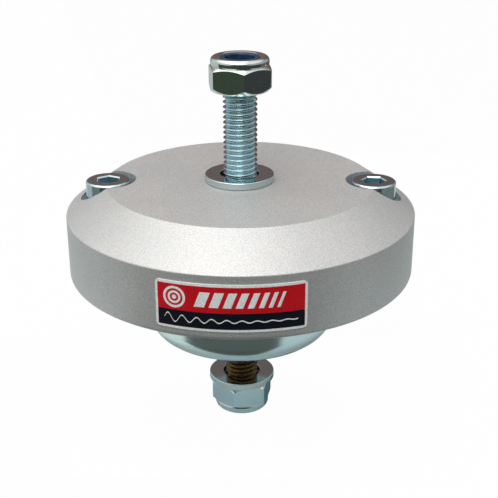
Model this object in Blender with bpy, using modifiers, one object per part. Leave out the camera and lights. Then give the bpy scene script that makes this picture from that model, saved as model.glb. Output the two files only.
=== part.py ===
"""Fail-safe bonded rubber engine mount with M10 studs.

A turned aluminium cover and a pressed steel cup hold a bonded rubber block
between them. The engine bracket is clamped on the upper stud and the chassis
on the lower one. A flange on the cup is trapped between the cover and a
retaining ring, so the mount holds together even if the rubber fails.

Units are metres and +Z is up. The origin is the middle of the bottom face,
where the mount stands on its lower nut. The mount is at rest, unloaded.
"""

import math

import bmesh
import bpy
from mathutils import Matrix, Vector

MM = 0.001

# Clearances
SEAT_GAP = 0.1 * MM          # between flat faces that bear on each other
HOLE_GAP = 0.3 * MM          # radial, between a thread or pin and its hole
RUNNING_GAP = 0.3 * MM       # what is left between pieces at a motion limit

# Motion of the housing on the rubber
BOUNCE_DOWN = 3.2 * MM       # until the bump ring meets the cover
BOUNCE_UP = 1.5 * MM         # until the rebound ring meets the cup's flange
SWAY = 1.0 * MM              # each way along X and along Y

# M10 hardware
STUD_RADIUS = 4.9 * MM
STUD_END_CHAMFER = 0.9 * MM
STUD_HEAD_RADIUS = 8.0 * MM
STUD_HEAD_HEIGHT = 3.0 * MM
WASHER_RADIUS = 10.1 * MM
WASHER_HOLE_RADIUS = 5.7 * MM
WASHER_THICKNESS = 2.0 * MM
WASHER_EDGE = 0.35 * MM
UPPER_WASHER_SHIFT = 0.3 * MM    # the loose washer lies a little to the left
NUT_ACROSS_FLATS = 16.8 * MM
NUT_HEIGHT = 9.7 * MM
NUT_THREAD_IN_USE = 6.0 * MM
NUT_FACE_MARGIN = 0.25 * MM      # bearing face inside the flats
NUT_FACE_SLOPE = math.radians(45.0)
NUT_BORE_CHAMFER = 0.6 * MM
CROWN_HEIGHT = 2.55 * MM
CROWN_SLOPE = math.radians(30.0)     # cone from the crown's neck down to the corners
CROWN_WALL = 1.95 * MM
CROWN_ROUND = 1.3 * MM
CROWN_LIP_WIDTH = 0.65 * MM
CROWN_LIP_THICKNESS = 0.8 * MM
CROWN_DISH = 0.4 * MM            # lip's inner edge below the crown's top
NECK_DEPTH = 0.25 * MM
NECK_HEIGHT = 0.45 * MM
INSERT_BORE_RADIUS = 4.3 * MM
INSERT_WIDTH = 2.0 * MM
INSERT_THICKNESS = 1.7 * MM
INSERT_EDGE = 0.4 * MM

# How far each nut stands from what it will clamp
UPPER_NUT_STANDOFF = 26.8 * MM   # cover's top to the nut
LOWER_THREAD_SHOWN = 15.8 * MM   # cup's seat to the lower washer
UPPER_NUT_TURN = math.radians(9.1)
LOWER_NUT_TURN = math.radians(-12.7)

# Cover
COVER_HEIGHT = 26.5 * MM
COVER_TOP_THICKNESS = 6.0 * MM
BEVEL_WIDTH = 12.1 * MM
BEVEL_DROP = 8.2 * MM
CREASE_ROUND = 0.5 * MM
RIM_ROUND = 0.6 * MM
SKIRT_EDGE_ROUND = 1.4 * MM
SKIRT_WALL = 5.0 * MM

# M8 cap screws
SCREW_RADIUS = 3.95 * MM
SCREW_LENGTH = 16.0 * MM
CAP_HEAD_RADIUS = 6.5 * MM
CAP_HEAD_HEIGHT = 8.0 * MM
CAP_HEAD_CHAMFER = 0.7 * MM
SOCKET_ACROSS_FLATS = 6.0 * MM
SOCKET_DEPTH = 4.3 * MM
SOCKET_TURNS = {"left": math.radians(4.1), "right": math.radians(24.1)}
COUNTERBORE_RADIUS = 8.25 * MM

# Retaining ring
RING_INNER_WALL = 1.2 * MM       # between the cavity and the screw holes
RING_OUTER_WALL = 2.5 * MM       # between the screw holes and the ring's edge
RING_RECESS = 0.3 * MM
RING_THICKNESS = 9.9 * MM
LIP_THICKNESS = 3.5 * MM
RING_CHAMFER = 0.6 * MM

# Cup
CUP_RADIUS = 28.2 * MM
CUP_WALL = 2.0 * MM
CUP_DROP = 20.9 * MM             # cup's seat below the cover's edge
CUP_CORNER = 6.2 * MM
CUP_BEND = 1.0 * MM
FLANGE_WIDTH = 3.8 * MM

# Bonded rubber block and its plates
RUBBER_SIDE_ROOM = 2.2 * MM      # between the rubber and the cup's wall
RUBBER_WAIST_DEPTH = 5.0 * MM
RUBBER_WAIST_ROUND = 10.0 * MM
RUBBER_LAND = 2.5 * MM
PLATE_MARGIN = 1.0 * MM          # upper plate beyond the rubber
FOOT_INSET = 1.5 * MM            # lower plate inside the cup's flat
FOOT_MARGIN = 1.0 * MM           # lower plate beyond the rubber
PLATE_THICKNESS = 3.0 * MM
PLATE_EDGE = 0.5 * MM

# Rubber rings and the pin
BUMP_THICKNESS = 2.7 * MM
REBOUND_THICKNESS = 1.4 * MM
RING_SIDE_CLEARANCE = 0.5 * MM
PIN_RADIUS = 2.0 * MM
PIN_INSET = 7.0 * MM             # from the upper plate's edge
PIN_DEPTH = 3.2 * MM             # how far the pin goes into the cover

# Label on the cover's side
LABEL_START = math.radians(-23.9)
LABEL_END = math.radians(20.9)
LABEL_LOW = 2.7 * MM             # above the cover's lower edge
LABEL_HEIGHT = 13.2 * MM
LABEL_THICKNESS = 0.2 * MM
LABEL_CORNER = 1.1 * MM

# Facets, and how far two joined cutters reach into each other
CUTTER_OVERLAP = 0.1 * MM
FINE_STEPS = 64
STEPS = 32
FILLET_STEPS = 2
CORNER_STEPS = 5

# Heights, from the floor up
SWAY_REACH = SWAY * math.sqrt(2.0)
LOWER_WASHER_Z = NUT_HEIGHT + SEAT_GAP
CUP_Z = LOWER_WASHER_Z + WASHER_THICKNESS + LOWER_THREAD_SHOWN
COVER_Z = CUP_Z + CUP_DROP
COVER_TOP_Z = COVER_Z + COVER_HEIGHT
RING_Z = COVER_Z + RING_RECESS
RING_TOP_Z = RING_Z + RING_THICKNESS
LIP_TOP_Z = RING_Z + LIP_THICKNESS
REBOUND_Z = LIP_TOP_Z + SEAT_GAP
FLANGE_Z = REBOUND_Z + REBOUND_THICKNESS + BOUNCE_UP + RUNNING_GAP
FLANGE_TOP_Z = FLANGE_Z + CUP_WALL
BUMP_Z = FLANGE_TOP_Z + SEAT_GAP
CEILING_Z = BUMP_Z + BUMP_THICKNESS + BOUNCE_DOWN + RUNNING_GAP
INNER_TOP_Z = COVER_TOP_Z - COVER_TOP_THICKNESS
UPPER_PLATE_Z = INNER_TOP_Z - SEAT_GAP - PLATE_THICKNESS
LOWER_PLATE_Z = CUP_Z + CUP_WALL + SEAT_GAP
RUBBER_TOP_Z = UPPER_PLATE_Z - SEAT_GAP
RUBBER_FOOT_Z = LOWER_PLATE_Z + PLATE_THICKNESS + SEAT_GAP
UPPER_NUT_Z = COVER_TOP_Z + UPPER_NUT_STANDOFF

# Radii that follow from the pieces that fit together
STUD_HOLE_RADIUS = STUD_RADIUS + HOLE_GAP
SCREW_HOLE_RADIUS = SCREW_RADIUS + HOLE_GAP
PIN_HOLE_RADIUS = PIN_RADIUS + HOLE_GAP / 2
INSERT_OUTER_RADIUS = INSERT_BORE_RADIUS + INSERT_WIDTH
CROWN_LIP_RADIUS = INSERT_OUTER_RADIUS - CROWN_LIP_WIDTH
CROWN_RADIUS = INSERT_OUTER_RADIUS + SEAT_GAP + CROWN_WALL
RING_BORE_RADIUS = CUP_RADIUS + SWAY_REACH + RUNNING_GAP
FLANGE_RADIUS = CUP_RADIUS + FLANGE_WIDTH
CAVITY_RADIUS = FLANGE_RADIUS + SWAY_REACH + SEAT_GAP
SCREW_CIRCLE_RADIUS = CAVITY_RADIUS + RING_INNER_WALL + SCREW_HOLE_RADIUS
RING_RADIUS = SCREW_CIRCLE_RADIUS + SCREW_HOLE_RADIUS + RING_OUTER_WALL
RING_SEAT_RADIUS = RING_RADIUS + HOLE_GAP
COVER_RADIUS = RING_SEAT_RADIUS + SKIRT_WALL
TOP_FLAT_RADIUS = COVER_RADIUS - BEVEL_WIDTH
RUBBER_TOP_RADIUS = CUP_RADIUS - CUP_WALL - RUBBER_SIDE_ROOM
RUBBER_WAIST_RADIUS = RUBBER_TOP_RADIUS - RUBBER_WAIST_DEPTH
UPPER_PLATE_RADIUS = RUBBER_TOP_RADIUS + PLATE_MARGIN
CORE_RADIUS = UPPER_PLATE_RADIUS + HOLE_GAP
PIN_CIRCLE_RADIUS = UPPER_PLATE_RADIUS - PIN_INSET
CUP_FLAT_RADIUS = CUP_RADIUS - CUP_CORNER
LOWER_PLATE_RADIUS = CUP_FLAT_RADIUS - FOOT_INSET
RUBBER_FOOT_RADIUS = LOWER_PLATE_RADIUS - FOOT_MARGIN


def clear_scene():
    """Remove every object, so that the script can be run again."""
    for obj in list(bpy.data.objects):
        bpy.data.objects.remove(obj, do_unlink=True)


def make_collection(name):
    collection = bpy.data.collections.new(name)
    bpy.context.scene.collection.children.link(collection)
    return collection


def make_material(name, colour, roughness, metallic):
    material = bpy.data.materials.new(name)
    material.use_nodes = True
    shader = material.node_tree.nodes["Principled BSDF"]
    shader.inputs["Base Color"].default_value = (*colour, 1.0)
    shader.inputs["Roughness"].default_value = roughness
    shader.inputs["Metallic"].default_value = metallic
    return material


def arc(centre, radius, start, end, steps):
    """Points of an arc in the (r, z) plane, from angle start to end in degrees."""
    points = []
    for i in range(steps + 1):
        angle = math.radians(start + (end - start) * i / steps)
        points.append(
            (centre[0] + radius * math.cos(angle), centre[1] + radius * math.sin(angle))
        )
    return points


def rounded(corners, closed, steps=FILLET_STEPS):
    """Turn (r, z) or (r, z, fillet) corners into points, with an arc at each fillet.

    One step makes the fillet a chamfer.
    """
    points = []
    count = len(corners)
    for i, corner in enumerate(corners):
        here = Vector(corner[:2])
        radius = corner[2] if len(corner) > 2 else 0.0
        at_end = not closed and i in (0, count - 1)
        if radius <= 0.0 or at_end:
            points.append(tuple(here))
            continue
        back = (Vector(corners[i - 1][:2]) - here).normalized()
        ahead = (Vector(corners[(i + 1) % count][:2]) - here).normalized()
        half_angle = back.angle(ahead) / 2
        centre = here + (back + ahead).normalized() * (radius / math.sin(half_angle))
        tangent = radius / math.tan(half_angle)
        first = here + back * tangent - centre
        last = here + ahead * tangent - centre
        sweep = first.angle_signed(last)
        for step in range(steps + 1):
            turn = Matrix.Rotation(-sweep * step / steps, 2)
            points.append(tuple(centre + turn @ first))
    return points


def link(name, mesh, collection):
    obj = bpy.data.objects.new(name, mesh)
    collection.objects.link(obj)
    return obj


def turned(name, points, collection, closed=True, steps=STEPS):
    """A solid of revolution about Z. The (r, z) profile runs down its outer side."""
    mesh = bpy.data.meshes.new(name)
    edges = [(i, i + 1) for i in range(len(points) - 1)]
    if closed:
        edges.append((len(points) - 1, 0))
    mesh.from_pydata([(r, 0.0, z) for r, z in points], edges, [])
    obj = link(name, mesh, collection)
    screw = obj.modifiers.new("Turn", "SCREW")
    screw.axis = "Z"
    screw.steps = steps
    screw.render_steps = steps
    screw.use_merge_vertices = True
    screw.merge_threshold = 0.00001
    screw.use_smooth_shade = True
    return obj


def prism(name, sides, radius, low, high, collection):
    """An upright prism or cylinder whose corners lie at the given radius."""
    mesh = bpy.data.meshes.new(name)
    shape = bmesh.new()
    bmesh.ops.create_cone(
        shape,
        cap_ends=True,
        segments=sides,
        radius1=radius,
        radius2=radius,
        depth=high - low,
        matrix=Matrix.Translation((0.0, 0.0, (low + high) / 2)),
    )
    shape.to_mesh(mesh)
    shape.free()
    return link(name, mesh, collection)


def hide_cutter(cutter):
    cutter.hide_render = True
    cutter.display_type = "WIRE"


def combine(obj, other, operation):
    """Add a Boolean with a cutter, which is kept as a hidden wire object."""
    boolean = obj.modifiers.new(other.name, "BOOLEAN")
    boolean.operation = operation
    boolean.solver = "EXACT"
    boolean.object = other
    hide_cutter(other)


def finish(obj, material, parent):
    """Turn the modifiers into a plain smooth mesh, and give it its material and parent."""
    bpy.context.view_layer.update()
    evaluated = obj.evaluated_get(bpy.context.evaluated_depsgraph_get())
    mesh = bpy.data.meshes.new_from_object(evaluated)
    obj.modifiers.clear()
    obj.data = mesh
    mesh.name = obj.name
    mesh.shade_smooth()
    mesh.set_sharp_from_angle(angle=math.radians(35.0))
    mesh.materials.clear()
    mesh.materials.append(material)
    obj.parent = parent
    obj.matrix_parent_inverse = parent.matrix_world.inverted()


def make_frame(name, height, collection):
    """An empty on the mount's axis that carries the pieces of one body."""
    frame = link(name, None, collection)
    frame.empty_display_size = COVER_RADIUS
    frame.location = (0.0, 0.0, height)
    bpy.context.view_layer.update()
    return frame


def make_screw_cutter(side, cutters):
    """Counterbore and clearance hole of one cap screw, through cover and ring."""
    head_seat = COVER_TOP_Z - CAP_HEAD_HEIGHT - SEAT_GAP
    above = COVER_TOP_Z + CAP_HEAD_HEIGHT
    below = COVER_Z - CAP_HEAD_HEIGHT
    points = [
        (0.0, above),
        (COUNTERBORE_RADIUS, above),
        (COUNTERBORE_RADIUS, head_seat),
        (SCREW_HOLE_RADIUS, head_seat),
        (SCREW_HOLE_RADIUS, below),
        (0.0, below),
    ]
    cutter = turned("screw_cutter_" + side[0], points, cutters, closed=False)
    cutter.location.x = side[1] * SCREW_CIRCLE_RADIUS
    return cutter


def make_cover(screw_cutters, pin_cutter, collection):
    """Turned cover: flat top, wide bevel, skirt, and a stepped cavity below."""
    profile = rounded(
        [
            (STUD_HOLE_RADIUS, COVER_TOP_Z),
            (TOP_FLAT_RADIUS, COVER_TOP_Z, CREASE_ROUND),
            (COVER_RADIUS, COVER_TOP_Z - BEVEL_DROP, RIM_ROUND),
            (COVER_RADIUS, COVER_Z, SKIRT_EDGE_ROUND),
            (RING_SEAT_RADIUS, COVER_Z),
            (RING_SEAT_RADIUS, RING_TOP_Z + SEAT_GAP),
            (CAVITY_RADIUS, RING_TOP_Z + SEAT_GAP),
            (CAVITY_RADIUS, CEILING_Z),
            (CORE_RADIUS, CEILING_Z),
            (CORE_RADIUS, INNER_TOP_Z),
            (STUD_HOLE_RADIUS, INNER_TOP_Z),
        ],
        closed=True,
    )
    cover = turned("cover", profile, collection, steps=FINE_STEPS)
    for cutter in [*screw_cutters, pin_cutter]:
        combine(cover, cutter, "DIFFERENCE")
    return cover


def make_retaining_ring(screw_cutters, collection):
    """Steel ring in the skirt. Its lip reaches under the cup's flange."""
    profile = rounded(
        [
            (CAVITY_RADIUS, RING_TOP_Z),
            (RING_RADIUS, RING_TOP_Z),
            (RING_RADIUS, RING_Z, RING_CHAMFER),
            (RING_BORE_RADIUS, RING_Z, RING_CHAMFER),
            (RING_BORE_RADIUS, LIP_TOP_Z),
            (CAVITY_RADIUS, LIP_TOP_Z),
        ],
        closed=True,
        steps=1,
    )
    ring = turned("retaining_ring", profile, collection, steps=FINE_STEPS)
    for cutter in screw_cutters:
        combine(ring, cutter, "DIFFERENCE")
    return ring


def make_cap_screw(side, collection, cutters):
    """M8 socket cap screw. Its origin is the middle of the head's top."""
    profile = rounded(
        [
            (0.0, 0.0),
            (CAP_HEAD_RADIUS, 0.0, CAP_HEAD_CHAMFER),
            (CAP_HEAD_RADIUS, -CAP_HEAD_HEIGHT),
            (SCREW_RADIUS, -CAP_HEAD_HEIGHT),
            (SCREW_RADIUS, -CAP_HEAD_HEIGHT - SCREW_LENGTH, CAP_HEAD_CHAMFER),
            (0.0, -CAP_HEAD_HEIGHT - SCREW_LENGTH),
        ],
        closed=False,
    )
    name = "cap_screw_" + side[0]
    screw = turned(name, profile, collection, closed=False)
    corner_radius = SOCKET_ACROSS_FLATS / math.sqrt(3.0)
    socket = prism(
        name + "_socket_cutter", 6, corner_radius, -SOCKET_DEPTH, SOCKET_DEPTH, cutters
    )
    place = (side[1] * SCREW_CIRCLE_RADIUS, 0.0, COVER_TOP_Z)
    screw.location = place
    socket.location = place
    socket.rotation_euler.z = SOCKET_TURNS[side[0]]
    combine(screw, socket, "DIFFERENCE")
    return screw


def make_nut(name, collection, cutters):
    """M10 lock nut with a round crown. Its origin is the middle of its bearing face."""
    corner_radius = NUT_ACROSS_FLATS / math.sqrt(3.0)
    face_radius = NUT_ACROSS_FLATS / 2 - NUT_FACE_MARGIN
    blank_radius = corner_radius + HOLE_GAP
    hexagon_top = NUT_HEIGHT - CROWN_HEIGHT
    neck_radius = CROWN_RADIUS - NECK_DEPTH
    crown_centre = (CROWN_RADIUS - CROWN_ROUND, NUT_HEIGHT - CROWN_ROUND)
    outline = [
        (CROWN_LIP_RADIUS, NUT_HEIGHT - CROWN_DISH),
        *arc(crown_centre, CROWN_ROUND, 90.0, 0.0, CORNER_STEPS),
        (CROWN_RADIUS, hexagon_top + NECK_HEIGHT),
        (neck_radius, hexagon_top),
        (blank_radius, hexagon_top - (blank_radius - neck_radius) * math.tan(CROWN_SLOPE)),
        (blank_radius, (blank_radius - face_radius) * math.tan(NUT_FACE_SLOPE)),
        (face_radius, 0.0),
        (STUD_HOLE_RADIUS + NUT_BORE_CHAMFER, 0.0),
        (STUD_HOLE_RADIUS, NUT_BORE_CHAMFER),
        (STUD_HOLE_RADIUS, insert_seat()),
        (INSERT_OUTER_RADIUS + SEAT_GAP, insert_seat()),
        (INSERT_OUTER_RADIUS + SEAT_GAP, NUT_HEIGHT - CROWN_LIP_THICKNESS),
        (CROWN_LIP_RADIUS, NUT_HEIGHT - CROWN_LIP_THICKNESS),
    ]
    nut = turned(name, outline, collection)
    neck_middle = hexagon_top + NECK_HEIGHT / 2
    crown_low = hexagon_top - CUTTER_OVERLAP
    hexagon = prism(
        name + "_hexagon_cutter", 6, corner_radius, -NUT_HEIGHT, neck_middle, cutters
    )
    crown_space = prism(
        name + "_crown_cutter", STEPS, corner_radius, crown_low, 2 * NUT_HEIGHT, cutters
    )
    combine(hexagon, crown_space, "UNION")
    combine(nut, hexagon, "INTERSECT")
    return nut, hexagon, crown_space


def insert_seat():
    """Height in the nut of the step that the nylon ring sits on."""
    return NUT_HEIGHT - CROWN_LIP_THICKNESS - INSERT_THICKNESS - 2 * SEAT_GAP


def make_insert(name, collection):
    """Nylon locking ring, in the nut's own frame. Its collar fills the crown's lip."""
    low = insert_seat() + SEAT_GAP
    high = low + INSERT_THICKNESS
    collar_radius = CROWN_LIP_RADIUS - HOLE_GAP
    collar_top = NUT_HEIGHT - CROWN_DISH - SEAT_GAP
    profile = rounded(
        [
            (INSERT_BORE_RADIUS, collar_top, INSERT_EDGE),
            (collar_radius, collar_top),
            (collar_radius, high),
            (INSERT_OUTER_RADIUS, high),
            (INSERT_OUTER_RADIUS, low),
            (INSERT_BORE_RADIUS, low),
        ],
        closed=True,
    )
    return turned(name, profile, collection)


def make_washer(name, collection):
    """M10 flat washer. Its origin is the middle of its underside."""
    profile = rounded(
        [
            (WASHER_HOLE_RADIUS, WASHER_THICKNESS),
            (WASHER_RADIUS, WASHER_THICKNESS, WASHER_EDGE),
            (WASHER_RADIUS, 0.0, WASHER_EDGE),
            (WASHER_HOLE_RADIUS, 0.0),
        ],
        closed=True,
        steps=1,
    )
    return turned(name, profile, collection)


def make_stud(name, length, collection):
    """Headed M10 stud. Its origin is the middle of the head's bearing face, +Z its end."""
    profile = rounded(
        [
            (0.0, length),
            (STUD_RADIUS - STUD_END_CHAMFER, length),
            (STUD_RADIUS, length - STUD_END_CHAMFER),
            (STUD_RADIUS, 0.0),
            (STUD_HEAD_RADIUS, 0.0),
            (STUD_HEAD_RADIUS, -STUD_HEAD_HEIGHT),
            (0.0, -STUD_HEAD_HEIGHT),
        ],
        closed=False,
    )
    return turned(name, profile, collection, closed=False)


def make_cup(collection):
    """Deep-drawn cup with a flat seat, a rounded corner and an outward flange."""
    corner_centre = (CUP_FLAT_RADIUS, CUP_Z + CUP_CORNER)
    inner_radius = CUP_RADIUS - CUP_WALL
    rim = rounded(
        [
            (inner_radius, corner_centre[1]),
            (inner_radius, FLANGE_TOP_Z, CUP_BEND),
            (FLANGE_RADIUS, FLANGE_TOP_Z),
            (FLANGE_RADIUS, FLANGE_Z),
            (CUP_RADIUS, FLANGE_Z, CUP_BEND),
            (CUP_RADIUS, corner_centre[1]),
        ],
        closed=False,
    )
    foot = arc(corner_centre, CUP_CORNER, 0.0, -90.0, CORNER_STEPS)
    seat = [
        (STUD_HOLE_RADIUS, CUP_Z),
        (STUD_HOLE_RADIUS, CUP_Z + CUP_WALL),
    ]
    inside = arc(corner_centre, CUP_CORNER - CUP_WALL, -90.0, 0.0, CORNER_STEPS)
    profile = rim + foot[1:] + seat + inside[:-1]
    return turned("lower_cup", profile, collection, steps=FINE_STEPS)


def make_upper_plate(pin_cutter, collection):
    """Steel plate bonded to the top of the rubber, with the pin's hole."""
    top = UPPER_PLATE_Z + PLATE_THICKNESS
    profile = rounded(
        [
            (STUD_HOLE_RADIUS, top),
            (UPPER_PLATE_RADIUS, top, PLATE_EDGE),
            (UPPER_PLATE_RADIUS, UPPER_PLATE_Z),
            (STUD_HOLE_RADIUS, UPPER_PLATE_Z),
        ],
        closed=True,
        steps=1,
    )
    plate = turned("upper_plate", profile, collection)
    combine(plate, pin_cutter, "DIFFERENCE")
    return plate


def make_lower_plate(collection):
    """Steel plate bonded to the foot of the rubber, seated in the bottom of the cup."""
    top = LOWER_PLATE_Z + PLATE_THICKNESS
    profile = rounded(
        [
            (STUD_HOLE_RADIUS, top),
            (LOWER_PLATE_RADIUS, top),
            (LOWER_PLATE_RADIUS, LOWER_PLATE_Z, PLATE_EDGE),
            (STUD_HOLE_RADIUS, LOWER_PLATE_Z),
        ],
        closed=True,
        steps=1,
    )
    return turned("lower_plate", profile, collection)


def make_main_rubber(collection):
    """Waisted rubber block, moulded round the heads of both studs."""
    head_pocket = STUD_HEAD_RADIUS + HOLE_GAP
    head_depth = STUD_HEAD_HEIGHT + HOLE_GAP
    waist_z = (RUBBER_TOP_Z + RUBBER_FOOT_Z) / 2
    outline = rounded(
        [
            (head_pocket, RUBBER_TOP_Z),
            (RUBBER_TOP_RADIUS, RUBBER_TOP_Z),
            (RUBBER_TOP_RADIUS, RUBBER_TOP_Z - RUBBER_LAND, RUBBER_LAND),
            (RUBBER_WAIST_RADIUS, waist_z, RUBBER_WAIST_ROUND),
            (RUBBER_FOOT_RADIUS, RUBBER_FOOT_Z),
            (head_pocket, RUBBER_FOOT_Z),
            (head_pocket, RUBBER_FOOT_Z + head_depth),
            (0.0, RUBBER_FOOT_Z + head_depth),
        ],
        closed=False,
    )
    pocket = [(0.0, RUBBER_TOP_Z - head_depth), (head_pocket, RUBBER_TOP_Z - head_depth)]
    return turned("main_rubber", pocket + outline, collection, closed=False)


def make_rubber_ring(name, outer_radius, low, thickness, collection):
    """Flat rubber ring round the cup's wall."""
    bore = CUP_RADIUS + RING_SIDE_CLEARANCE
    profile = rounded(
        [
            (bore, low + thickness),
            (outer_radius, low + thickness),
            (outer_radius, low),
            (bore, low),
        ],
        closed=True,
    )
    return turned(name, profile, collection)


def make_label(collection, cutters):
    """Thin curved label: a slice of a tube, cut out with a round-cornered outline."""
    inner = COVER_RADIUS + SEAT_GAP
    outer = inner + LABEL_THICKNESS
    low = COVER_Z + LABEL_LOW
    high = low + LABEL_HEIGHT
    tube = [
        (inner, high + LABEL_CORNER),
        (outer, high + LABEL_CORNER),
        (outer, low - LABEL_CORNER),
        (inner, low - LABEL_CORNER),
    ]
    label = turned("label", tube, collection, steps=FINE_STEPS)
    left = COVER_RADIUS * math.sin(LABEL_START)
    right = COVER_RADIUS * math.sin(LABEL_END)
    corners = [
        (left, low, LABEL_CORNER),
        (right, low, LABEL_CORNER),
        (right, high, LABEL_CORNER),
        (left, high, LABEL_CORNER),
    ]
    outline = rounded(corners, closed=True)
    mesh = bpy.data.meshes.new("label_cutter")
    shape = bmesh.new()
    face = shape.faces.new([shape.verts.new((x, 0.0, z)) for x, z in outline])
    drawn = bmesh.ops.extrude_face_region(shape, geom=[face])["geom"]
    moved = [item for item in drawn if isinstance(item, bmesh.types.BMVert)]
    bmesh.ops.translate(shape, vec=(0.0, -2 * COVER_RADIUS, 0.0), verts=moved)
    bmesh.ops.recalc_face_normals(shape, faces=shape.faces)
    shape.to_mesh(mesh)
    shape.free()
    combine(label, link("label_cutter", mesh, cutters), "INTERSECT")
    return label


def make_pin(collection):
    """Dowel pin that stops the bonded plate from turning in the cover."""
    low = UPPER_PLATE_Z + SEAT_GAP
    high = INNER_TOP_Z + PIN_DEPTH
    pin = prism("dowel_pin", STEPS // 2, PIN_RADIUS, low - high, 0.0, collection)
    pin.location = (0.0, PIN_CIRCLE_RADIUS, high)
    return pin


def main():
    clear_scene()
    mount = make_collection("engine_mount")
    cutters = make_collection("cutters")

    aluminium = make_material("anodised_aluminium", (0.62, 0.61, 0.60), 0.45, 1.0)
    zinc = make_material("zinc_plated_steel", (0.66, 0.72, 0.74), 0.25, 1.0)
    yellow_zinc = make_material("yellow_zinc_steel", (0.55, 0.42, 0.25), 0.35, 1.0)
    rubber = make_material("black_rubber", (0.02, 0.02, 0.02), 0.7, 0.0)
    nylon = make_material("blue_nylon", (0.02, 0.07, 0.30), 0.45, 0.0)
    film = make_material("label_film", (0.55, 0.03, 0.04), 0.35, 0.0)

    base = make_frame("base_frame", 0.0, mount)
    housing = make_frame("housing_frame", COVER_TOP_Z, mount)
    sides = [("left", -1), ("right", 1)]

    screw_cutters = [make_screw_cutter(side, cutters) for side in sides]
    pin_cutter = prism(
        "pin_cutter",
        STEPS // 2,
        PIN_HOLE_RADIUS,
        UPPER_PLATE_Z - PLATE_THICKNESS,
        INNER_TOP_Z + PIN_DEPTH + HOLE_GAP,
        cutters,
    )
    pin_cutter.location.y = PIN_CIRCLE_RADIUS

    finish(make_cover(screw_cutters, pin_cutter, mount), aluminium, housing)
    finish(make_retaining_ring(screw_cutters, mount), zinc, housing)
    for side in sides:
        finish(make_cap_screw(side, mount, cutters), zinc, housing)
    finish(make_pin(mount), zinc, housing)
    finish(make_upper_plate(pin_cutter, mount), zinc, housing)
    finish(make_label(mount, cutters), film, housing)

    stud_end = UPPER_NUT_Z + NUT_THREAD_IN_USE
    upper_stud = make_stud("upper_stud", stud_end - RUBBER_TOP_Z, mount)
    upper_stud.location.z = RUBBER_TOP_Z
    finish(upper_stud, zinc, housing)

    upper_washer = make_washer("upper_washer", mount)
    upper_washer.location = (-UPPER_WASHER_SHIFT, 0.0, COVER_TOP_Z + SEAT_GAP)
    finish(upper_washer, zinc, housing)

    lower_stud = make_stud("lower_stud", RUBBER_FOOT_Z - NUT_HEIGHT + NUT_THREAD_IN_USE, mount)
    lower_stud.location.z = RUBBER_FOOT_Z
    lower_stud.rotation_euler.x = math.pi
    finish(lower_stud, yellow_zinc, base)

    lower_washer = make_washer("lower_washer", mount)
    lower_washer.location.z = LOWER_WASHER_Z
    finish(lower_washer, zinc, base)

    finish(make_cup(mount), zinc, base)
    finish(make_lower_plate(mount), zinc, base)
    finish(make_main_rubber(mount), rubber, base)
    bump = make_rubber_ring(
        "bump_ring", FLANGE_RADIUS - RING_SIDE_CLEARANCE, BUMP_Z, BUMP_THICKNESS, mount
    )
    finish(bump, rubber, base)
    rebound = make_rubber_ring(
        "rebound_ring", FLANGE_RADIUS - RING_SIDE_CLEARANCE, REBOUND_Z, REBOUND_THICKNESS, mount
    )
    finish(rebound, rubber, base)

    # Each nut: name, height of its bearing face, turned over or not, turn, carrier
    nuts = [
        ("upper_nut", UPPER_NUT_Z, 0.0, UPPER_NUT_TURN, housing),
        ("lower_nut", NUT_HEIGHT, math.pi, LOWER_NUT_TURN, base),
    ]
    for name, height, flip, turn, carrier in nuts:
        nut, hexagon, crown_space = make_nut(name, mount, cutters)
        insert = make_insert(name + "_insert", mount)
        for piece in (nut, hexagon, crown_space, insert):
            piece.location.z = height
            piece.rotation_euler = (flip, 0.0, turn)
        finish(nut, zinc, carrier)
        finish(insert, nylon, carrier)


main()
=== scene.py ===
"""Looks of the bonded rubber engine mount: its surfaces, threads, label, light and camera."""

import math

import bmesh
import bpy
from mathutils import Matrix, Vector


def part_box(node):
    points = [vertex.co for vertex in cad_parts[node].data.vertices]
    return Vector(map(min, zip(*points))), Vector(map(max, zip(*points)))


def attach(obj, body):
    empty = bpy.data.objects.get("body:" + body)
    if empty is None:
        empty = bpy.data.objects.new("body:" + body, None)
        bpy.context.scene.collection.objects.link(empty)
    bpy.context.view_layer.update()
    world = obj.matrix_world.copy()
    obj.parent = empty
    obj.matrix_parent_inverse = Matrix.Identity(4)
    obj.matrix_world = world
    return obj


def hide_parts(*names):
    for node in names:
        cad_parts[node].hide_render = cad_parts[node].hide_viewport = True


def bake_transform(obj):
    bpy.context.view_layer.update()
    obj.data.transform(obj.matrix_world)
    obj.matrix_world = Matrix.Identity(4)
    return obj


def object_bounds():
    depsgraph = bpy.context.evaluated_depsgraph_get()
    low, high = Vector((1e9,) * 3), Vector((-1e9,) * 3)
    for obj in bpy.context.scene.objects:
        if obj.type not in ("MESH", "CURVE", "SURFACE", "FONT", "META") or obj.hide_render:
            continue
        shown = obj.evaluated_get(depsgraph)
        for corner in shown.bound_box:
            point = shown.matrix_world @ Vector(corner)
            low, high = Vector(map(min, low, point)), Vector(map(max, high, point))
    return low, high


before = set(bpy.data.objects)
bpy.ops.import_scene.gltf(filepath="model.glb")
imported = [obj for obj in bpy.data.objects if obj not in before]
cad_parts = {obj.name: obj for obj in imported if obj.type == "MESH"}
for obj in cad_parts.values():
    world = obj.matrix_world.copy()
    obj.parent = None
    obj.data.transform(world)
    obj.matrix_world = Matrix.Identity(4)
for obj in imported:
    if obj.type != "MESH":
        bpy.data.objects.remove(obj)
cad_low, cad_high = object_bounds()

MM = 0.001
BASE = "base"
HOUSING = "housing"

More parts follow.
